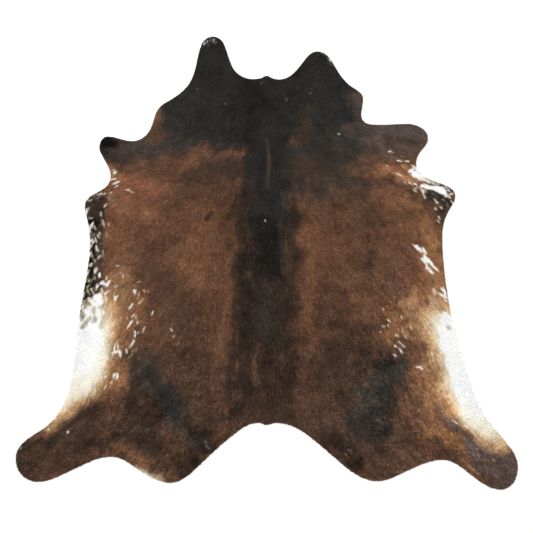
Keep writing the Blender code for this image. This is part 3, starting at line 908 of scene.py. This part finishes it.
drift_x, drift_y = cloud(*DRIFT_X), cloud(*DRIFT_Y)
mottled = cloud(*MOTTLE)
frayed, streaked = combed_noise(*FRAY), combed_noise(*STREAK)
brindled = combed_noise(*BRINDLE, BRINDLE_STRIDE)
fine = combed(np.random.default_rng(FINE_SEED).standard_normal(inward.shape), FINE_LENGTH)
blotched, speckled = noise(*BLOTCH), noise(*SPECKLE)

paint = np.empty(inward.shape + (3,), np.float32)
paint[:] = PALETTE[GROUND]
for _, *sizes, colour, strength in STROKES:
    *places, feather, ragged = [size / MM for size in sizes]
    for i in range(0, len(places) - 3, 3):
        lay_stroke(*places[i : i + 6], feather, ragged, colour, strength / PERCENT)
rough = roughness()
paint *= hair_grain()[..., None]
for _, *line, count, length, width, colour, seed in FLECK_RUNS:
    line = [place / MM for place in line]
    rng = np.random.default_rng(seed)
    scatter_flecks(rng, *line, count, length / MM, width / MM, colour)
strands_rng = np.random.default_rng(STRANDS_SEED)
for colour, flecks in FLECKS.items():
    for *sizes, turn, strength in flecks:
        sizes = [size / MM for size in sizes]
        lay_fleck(strands_rng, *sizes, math.radians(turn), colour, strength / PERCENT)


# ---------------------------------------------------------------- pieces
def hair_top(x):
    """How high the lying hair reaches over the floor."""
    back = np.exp(-((x / BACK_WIDTH) ** 2))
    crease = np.exp(-((x / CREASE_WIDTH) ** 2))
    return BELLY_HEIGHT + (BACK_HEIGHT - BELLY_HEIGHT) * back + CREASE_HEIGHT * crease


def linear(colour):
    """Light values of sRGB colours, which run from 0 to 255."""
    c = np.clip(colour / 255, 0, 1)
    return np.where(c <= 0.04045, c / 12.92, ((c + 0.055) / 1.055) ** 2.4)


def pigment_of(seen):
    """The hair's own colour that is seen as the colour given, 0 to 255, in the coat.

    The locks shade each other, light that strays between them is not all lost,
    and their shine lies over it.
    """
    light = linear(seen) - COAT_SHINE
    return np.clip(light / (COAT_OPEN + COAT_TRAP * light), LEAST_PIGMENT, 1)


def new_mesh(name, verts, triangles):
    mesh = bpy.data.meshes.new(name)
    mesh.vertices.add(len(verts))
    mesh.vertices.foreach_set("co", verts.astype(np.float32).ravel())
    mesh.loops.add(triangles.size)
    mesh.loops.foreach_set("vertex_index", triangles.astype(np.int32).ravel())
    mesh.polygons.add(len(triangles))
    mesh.polygons.foreach_set("loop_start", np.arange(0, triangles.size, 3, dtype=np.int32))
    mesh.update(calc_edges=True)
    mesh.shade_smooth()
    return mesh


def add_colours(mesh, colours):
    """Stores a colour for each vertex, from 0 to 255, as the hair's pigment."""
    layer = mesh.color_attributes.new(COLOUR_LAYER, "BYTE_COLOR", "POINT")
    values = np.ones((len(colours), 4), np.float32)
    values[:, :3] = pigment_of(colours)
    layer.data.foreach_set("color", values.ravel())


def add_uv(mesh, name, per_vertex):
    corners = np.zeros(len(mesh.loops), np.int32)
    mesh.loops.foreach_get("vertex_index", corners)
    layer = mesh.uv_layers.new(name=name)
    layer.uv.foreach_set("vector", per_vertex[corners].astype(np.float32).ravel())


def seen_from_above(verts):
    """The vertices' places over their own box, from above, as a map from 0 to 1."""
    low, high = verts[:, :2].min(0), verts[:, :2].max(0)
    return (verts[:, :2] - low) / (high - low)


def add_object(name, data):
    added = bpy.data.objects.new(name, data)
    bpy.context.scene.collection.objects.link(added)
    return added


def add_piece(name, mesh, *materials):
    piece = add_object(name, mesh)
    for material in materials:
        mesh.materials.append(material)
    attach(piece, BODY)
    return piece


def net(pitch):
    """Places over the ground on a net of even triangles."""
    rows = np.arange(ys[0], ys[-1], pitch * math.sqrt(3) / 2)
    columns = np.arange(xs[0], xs[-1], pitch)
    shift = np.where(np.arange(len(rows)) % 2, pitch / 2, 0)
    return (columns[None] + shift[:, None]).ravel(), np.repeat(rows, len(columns))


def filled(loop, pitch):
    """The loop filled with even triangles: its places, the loop's own first."""
    x, y = net(pitch)
    clear = sample(inward, x, y) > pitch * CLEAR_OF_EDGE
    inner = np.stack([x[clear], y[clear]], 1)
    points = [Vector(p) for p in np.concatenate([loop, inner])]
    made = delaunay_2d_cdt(points, [], [list(range(len(loop)))], 1, FILL_GAP)
    return np.array([tuple(p) for p in made[0]]), np.array(made[2])


def build_leather(materials):
    """The tanned skin: one closed sheet, suede below, with a cut edge."""
    edge = closed_spline(rough_edge, SHEET_STEP)
    top, top_faces = filled(edge, SHEET_PITCH)
    count = len(top)
    lowered = 1 - smoothstep(0, RIM_DROP_WIDTH, sample(inward, top[:, 0], top[:, 1]))
    upper = np.column_stack([top, SKIN_TOP - RIM_DROP * lowered])
    under, under_faces = filled(edge, UNDER_PITCH)
    lower = np.column_stack([under, np.zeros(len(under))])
    near = np.arange(len(edge))
    far = np.roll(near, -1)
    wall = [np.column_stack([near + count, far + count, far])]
    wall.append(np.column_stack([near + count, far, near]))
    verts = np.concatenate([upper, lower])
    faces = np.concatenate([top_faces, under_faces[:, ::-1] + count, *wall])
    mesh = new_mesh("hide_leather", verts, faces)
    material_of = (np.arange(len(faces)) >= len(top_faces)).astype(np.int32)
    mesh.polygons.foreach_set("material_index", material_of)
    mesh.set_sharp_from_angle(angle=SHEET_SHARP)
    # The skin takes the hair's colour darkened by the roots' painted shade: painted shade under the
    # coat
    add_colours(mesh, ROOT_PAINTED_SHADE * sample(paint, verts[:, 0], verts[:, 1]))
    return add_piece("hide_leather", mesh, *materials)


class Locks:
    """All the locks of the coat. The order of its random draws is part of the look."""

    def __init__(self, rng):
        x, y = net(LOCK_PITCH)
        x = x + rng.uniform(-LOCK_JITTER, LOCK_JITTER, x.size) * LOCK_PITCH
        y = y + rng.uniform(-LOCK_JITTER, LOCK_JITTER, y.size) * LOCK_PITCH
        kept = sample(inward, x, y) > 0
        self.x, self.y = x[kept], y[kept]
        self.count = len(self.x)
        self.lay_down(rng)
        self.shape(rng)
        self.colour(rng)

    def along(self, share):
        """The places at a share of each lock's length."""
        return self.x + self.dx * self.length * share, self.y + self.dy * self.length * share

    def lay_down(self, rng):
        """Heads each lock along the lie of the hair, and cuts it back past the edge."""
        x, y, count = self.x, self.y, self.count
        turn = rng.normal(0, LOCK_SPREAD, count)
        dx, dy = turned(sample(lie_x, x, y), sample(lie_y, x, y), turn)
        size = np.hypot(dx, dy)
        self.dx, self.dy = dx / size, dy / size
        self.length = sample(hair_length, x, y) * rng.uniform(*LOCK_LENGTHS, count)
        root_gap = sample(inward, x, y)
        over = rng.uniform(0, EDGE_HAIR, count)
        for _ in range(2):
            tip_gap = sample(inward, *self.along(1))
            share = (root_gap + over) / np.maximum(root_gap - tip_gap, LEAST_FALL)
            cut_back = self.length * np.clip(share, SHORTEST, 1)
            self.length = np.where(tip_gap < -over, cut_back, self.length)

    def shape(self, rng):
        """The four corners of each lock: left and right root, ridge and tip."""
        x, y, count = self.x, self.y, self.count
        tip_x, tip_y = self.along(1)
        tip_gap = sample(inward, tip_x, tip_y)
        width = LOCK_WIDTH * rng.uniform(*LOCK_WIDTHS, count)
        rise = smoothstep(RISE_START, RIM, tip_gap)
        crest = hair_top(tip_x) + TUFT_HEIGHT * sample(blotched, x, y)
        tip_z = SKIN_TOP + (crest - SKIN_TOP) * rise + rng.uniform(*TIP_STRAY, count)
        tip_z -= np.clip(-tip_gap, 0, DROOP_REACH) * DROOP
        root_z = np.full(count, SKIN_TOP - ROOT_DEPTH)
        ridge_rise = RIDGE_HEIGHT * rng.uniform(*RIDGE_HEIGHTS, count)
        ridge_z = root_z + (tip_z - root_z) * RIDGE_PLACE + ridge_rise
        out_x, out_y = self.dy * width / 2, self.dx * width / 2
        left = np.column_stack([x - out_x, y + out_y, root_z])
        right = np.column_stack([x + out_x, y - out_y, root_z])
        ridge = np.column_stack([*self.along(RIDGE_PLACE), ridge_z])
        tip = np.column_stack([tip_x, tip_y, np.maximum(tip_z, TIP_LOWEST)])
        self.corners = np.stack([left, right, ridge, tip], 1)

    def colour(self, rng):
        """A colour for each corner, and its place on the pattern of the strands."""
        x, y, count = self.x, self.y, self.count
        pale = smoothstep(*PALE_LOCK, sample(paint, x, y).mean(1))
        rougher = 1 + ROUGH_LOCK_SHADE * sample(rough, x, y)
        spread = LOCK_SHADE * (1 - PALE_LOCK_EVEN * pale) * rougher
        shade = np.exp(rng.normal(0, 1, count) * spread)[:, None]
        warmth = rng.normal(0, LOCK_WARMTH, (count, 1)) * WARM_SHARES
        # Painted shade at the roots and ridge, painted light at the tip
        root = ROOT_PAINTED_SHADE + (PALE_ROOT_PAINTED_SHADE - ROOT_PAINTED_SHADE) * pale[:, None]
        whole_x, whole_y = self.along(SMEAR_PLACE)
        tones = []
        for i, level in enumerate((root, root, RIDGE_PAINTED_SHADE, TIP_PAINTED_LIGHT)):
            seen_x = self.corners[:, i, 0] * (1 - SMEAR) + whole_x * SMEAR
            seen_y = self.corners[:, i, 1] * (1 - SMEAR) + whole_y * SMEAR
            tones.append(sample(paint, seen_x, seen_y) * (shade + warmth) * level)
        self.colours = np.stack(tones, 1)
        self.strands = np.repeat(STRAND_CORNERS[None], count, 0)
        self.strands[..., 0] += rng.integers(0, STRAND_PLACES, count)[:, None]


def build_coat(material):
    rng = np.random.default_rng(COAT_SEED)
    locks = Locks(rng)
    order = np.argsort(locks.y + rng.normal(0, PIECE_FRAY, locks.count))[::-1]
    for name, chosen in zip(COAT_PIECES, np.array_split(order, len(COAT_PIECES))):
        places = locks.corners[chosen].reshape(-1, 3)
        first = 4 * np.arange(len(chosen))[:, None, None]
        mesh = new_mesh(name, places, (first + LOCK_FACES[None]).reshape(-1, 3))
        add_colours(mesh, locks.colours[chosen].reshape(-1, 3))
        add_uv(mesh, "OFBake", seen_from_above(places))
        add_uv(mesh, STRAND_MAP, locks.strands[chosen].reshape(-1, 2))
        add_piece(name, mesh, material)


# ---------------------------------------------------------------- materials
class Look:
    """A new material, with short ways to build its nodes."""

    def __init__(self, name):
        self.material = bpy.data.materials.new(name)
        self.material.use_nodes = True
        self.tree = self.material.node_tree

    def feed(self, node, inputs):
        """Sets each input of the node, or joins it to the output that is given for it."""
        for name, value in inputs.items():
            if isinstance(value, bpy.types.NodeSocket):
                self.tree.links.new(value, node.inputs[name])
            else:
                node.inputs[name].default_value = value

    def add(self, kind, output, inputs, **settings):
        """Adds a node and returns one of its outputs."""
        node = self.tree.nodes.new("ShaderNode" + kind)
        for name, value in settings.items():
            setattr(node, name, value)
        self.feed(node, inputs)
        return node.outputs[output]

    def texture(self, place, scale, detail, roughness=0.5):
        inputs = {"Vector": place, "Scale": scale, "Detail": detail, "Roughness": roughness}
        return self.add("TexNoise", "Fac", inputs)

    def spread(self, value, low, high, from_low=0.0, from_high=1.0):
        """The value, with the span it runs over stretched to run from low to high."""
        span = {"From Min": from_low, "From Max": from_high, "To Min": low, "To Max": high}
        return self.add("MapRange", "Result", {"Value": value, **span})

    def pigment(self):
        return self.add("VertexColor", "Color", {}, layer_name=COLOUR_LAYER)

    def place(self):
        return self.add("TexCoord", "Object", {})

    def shaded(self, colour, shade, share):
        """The colour times the shade, as far as the share says."""
        inputs = {"Factor": share, "A": colour, "B": shade}
        return self.add("Mix", "Result", inputs, data_type="RGBA", blend_type="MULTIPLY")

    def bump(self, height, strength, distance):
        inputs = {"Height": height, "Strength": strength, "Distance": distance}
        return self.add("Bump", "Normal", inputs)

    def done(self, colour, rough, specular, inputs):
        """The material, once its shader has what is given."""
        shader = self.tree.nodes["Principled BSDF"]
        surface = {"Base Color": colour, "Roughness": rough, "Specular IOR Level": specular}
        self.feed(shader, {**surface, **inputs})
        return self.material


def hair_material():
    look = Look("hide_hair")
    pigment = look.pigment()
    strands = look.add("UVMap", "UV", {}, uv_map=STRAND_MAP)
    drawn_out = look.add("Mapping", "Vector", {"Vector": strands, "Scale": STRAND_STRETCH})
    hairs = look.texture(drawn_out, *STRAND_TEXTURE)
    shades = look.spread(hairs, *STRAND_SHADES)
    colour = look.shaded(pigment, shades, look.spread(pigment, *STRANDS_SHOWN))
    rough = look.spread(hairs, *HAIR_ROUGHNESS)
    return look.done(colour, rough, HAIR_SPECULAR, {"Normal": look.bump(hairs, *HAIR_BUMP)})


def skin_material():
    """The skin under the hair, in the hair's colour darkened as painted shade under the coat."""
    look = Look("hide_skin")
    pores = look.texture(look.place(), *PORE_TEXTURE)
    colour = look.shaded(look.pigment(), look.spread(pores, *PORE_SHADES), 1.0)
    normal = {"Normal": look.bump(pores, *SKIN_BUMP)}
    return look.done(colour, SKIN_ROUGHNESS, HAIR_SPECULAR, normal)


def suede_material():
    """The flesh side and the cut edge: pale napped leather, unevenly tanned."""
    look = Look("hide_suede")
    place = look.place()
    patches = look.texture(place, *SUEDE_PATCHES)
    nap = look.texture(place, *NAP_TEXTURE)
    colour = look.add("ValToRGB", "Color", {"Fac": patches})
    for stop, (position, shade) in zip(colour.node.color_ramp.elements, SUEDE_COLOURS):
        stop.position = position
        stop.color = (*linear(np.array(shade)), 1)
    rough = look.spread(patches, *SUEDE_ROUGHNESS)
    more = {"Normal": look.bump(nap, *NAP_BUMP), "Sheen Weight": SUEDE_SHEEN}
    return look.done(colour, rough, SUEDE_SPECULAR, more)


def floor_material():
    look = Look("studio_floor")
    tone = look.spread(look.texture(look.place(), *FLOOR_TEXTURE), *FLOOR_TONES)
    return look.done(tone, FLOOR_ROUGHNESS, 0.0, {})


# ---------------------------------------------------------------- the studio
def build_floor():
    corners = np.array([(-1, -1, 0), (1, -1, 0), (1, 1, 0), (-1, 1, 0)], float) * FLOOR_REACH
    mesh = new_mesh("floor", corners, np.array([(0, 1, 2), (0, 2, 3)]))
    floor = add_object("floor", mesh)
    floor.location.z = -FLOOR_GAP
    mesh.materials.append(floor_material())


def build_lights():
    world = bpy.data.worlds.new("studio")
    bpy.context.scene.world = world
    world.use_nodes = True
    sky = world.node_tree.nodes["Background"]
    sky.inputs["Color"].default_value = (1, 1, 1, 1)
    sky.inputs["Strength"].default_value = SKY_STRENGTH
    for name, place, reach, power in SOFT_BOXES:
        data = bpy.data.lights.new(name, "AREA")
        data.shape = "SQUARE"
        data.size = reach
        data.energy = power
        light = add_object(name, data)
        light.location = place
        light.rotation_euler = (-Vector(place)).to_track_quat("-Z", "Y").to_euler()


def build_camera():
    data = bpy.data.cameras.new("camera")
    camera = add_object("camera", data)
    tilt = math.radians(CAMERA_ELEVATION)
    back = Vector((0, -math.cos(tilt), math.sin(tilt)))
    camera.location = Vector(CAMERA_TARGET) + CAMERA_DISTANCE * back
    camera.rotation_euler = (math.radians(90 - CAMERA_ELEVATION), 0, 0)
    data.sensor_width = SENSOR_WIDTH
    data.lens = FOCAL_PIXELS / IMAGE_PIXELS * data.sensor_width
    data.clip_end = CAMERA_SIGHT
    bpy.context.scene.camera = camera


bpy.context.scene.view_settings.view_transform = "Standard"
bpy.context.scene.view_settings.look = "None"
build_camera()
build_floor()
build_lights()
leather = build_leather((skin_material(), suede_material()))
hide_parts(NODE)
build_coat(hair_material())
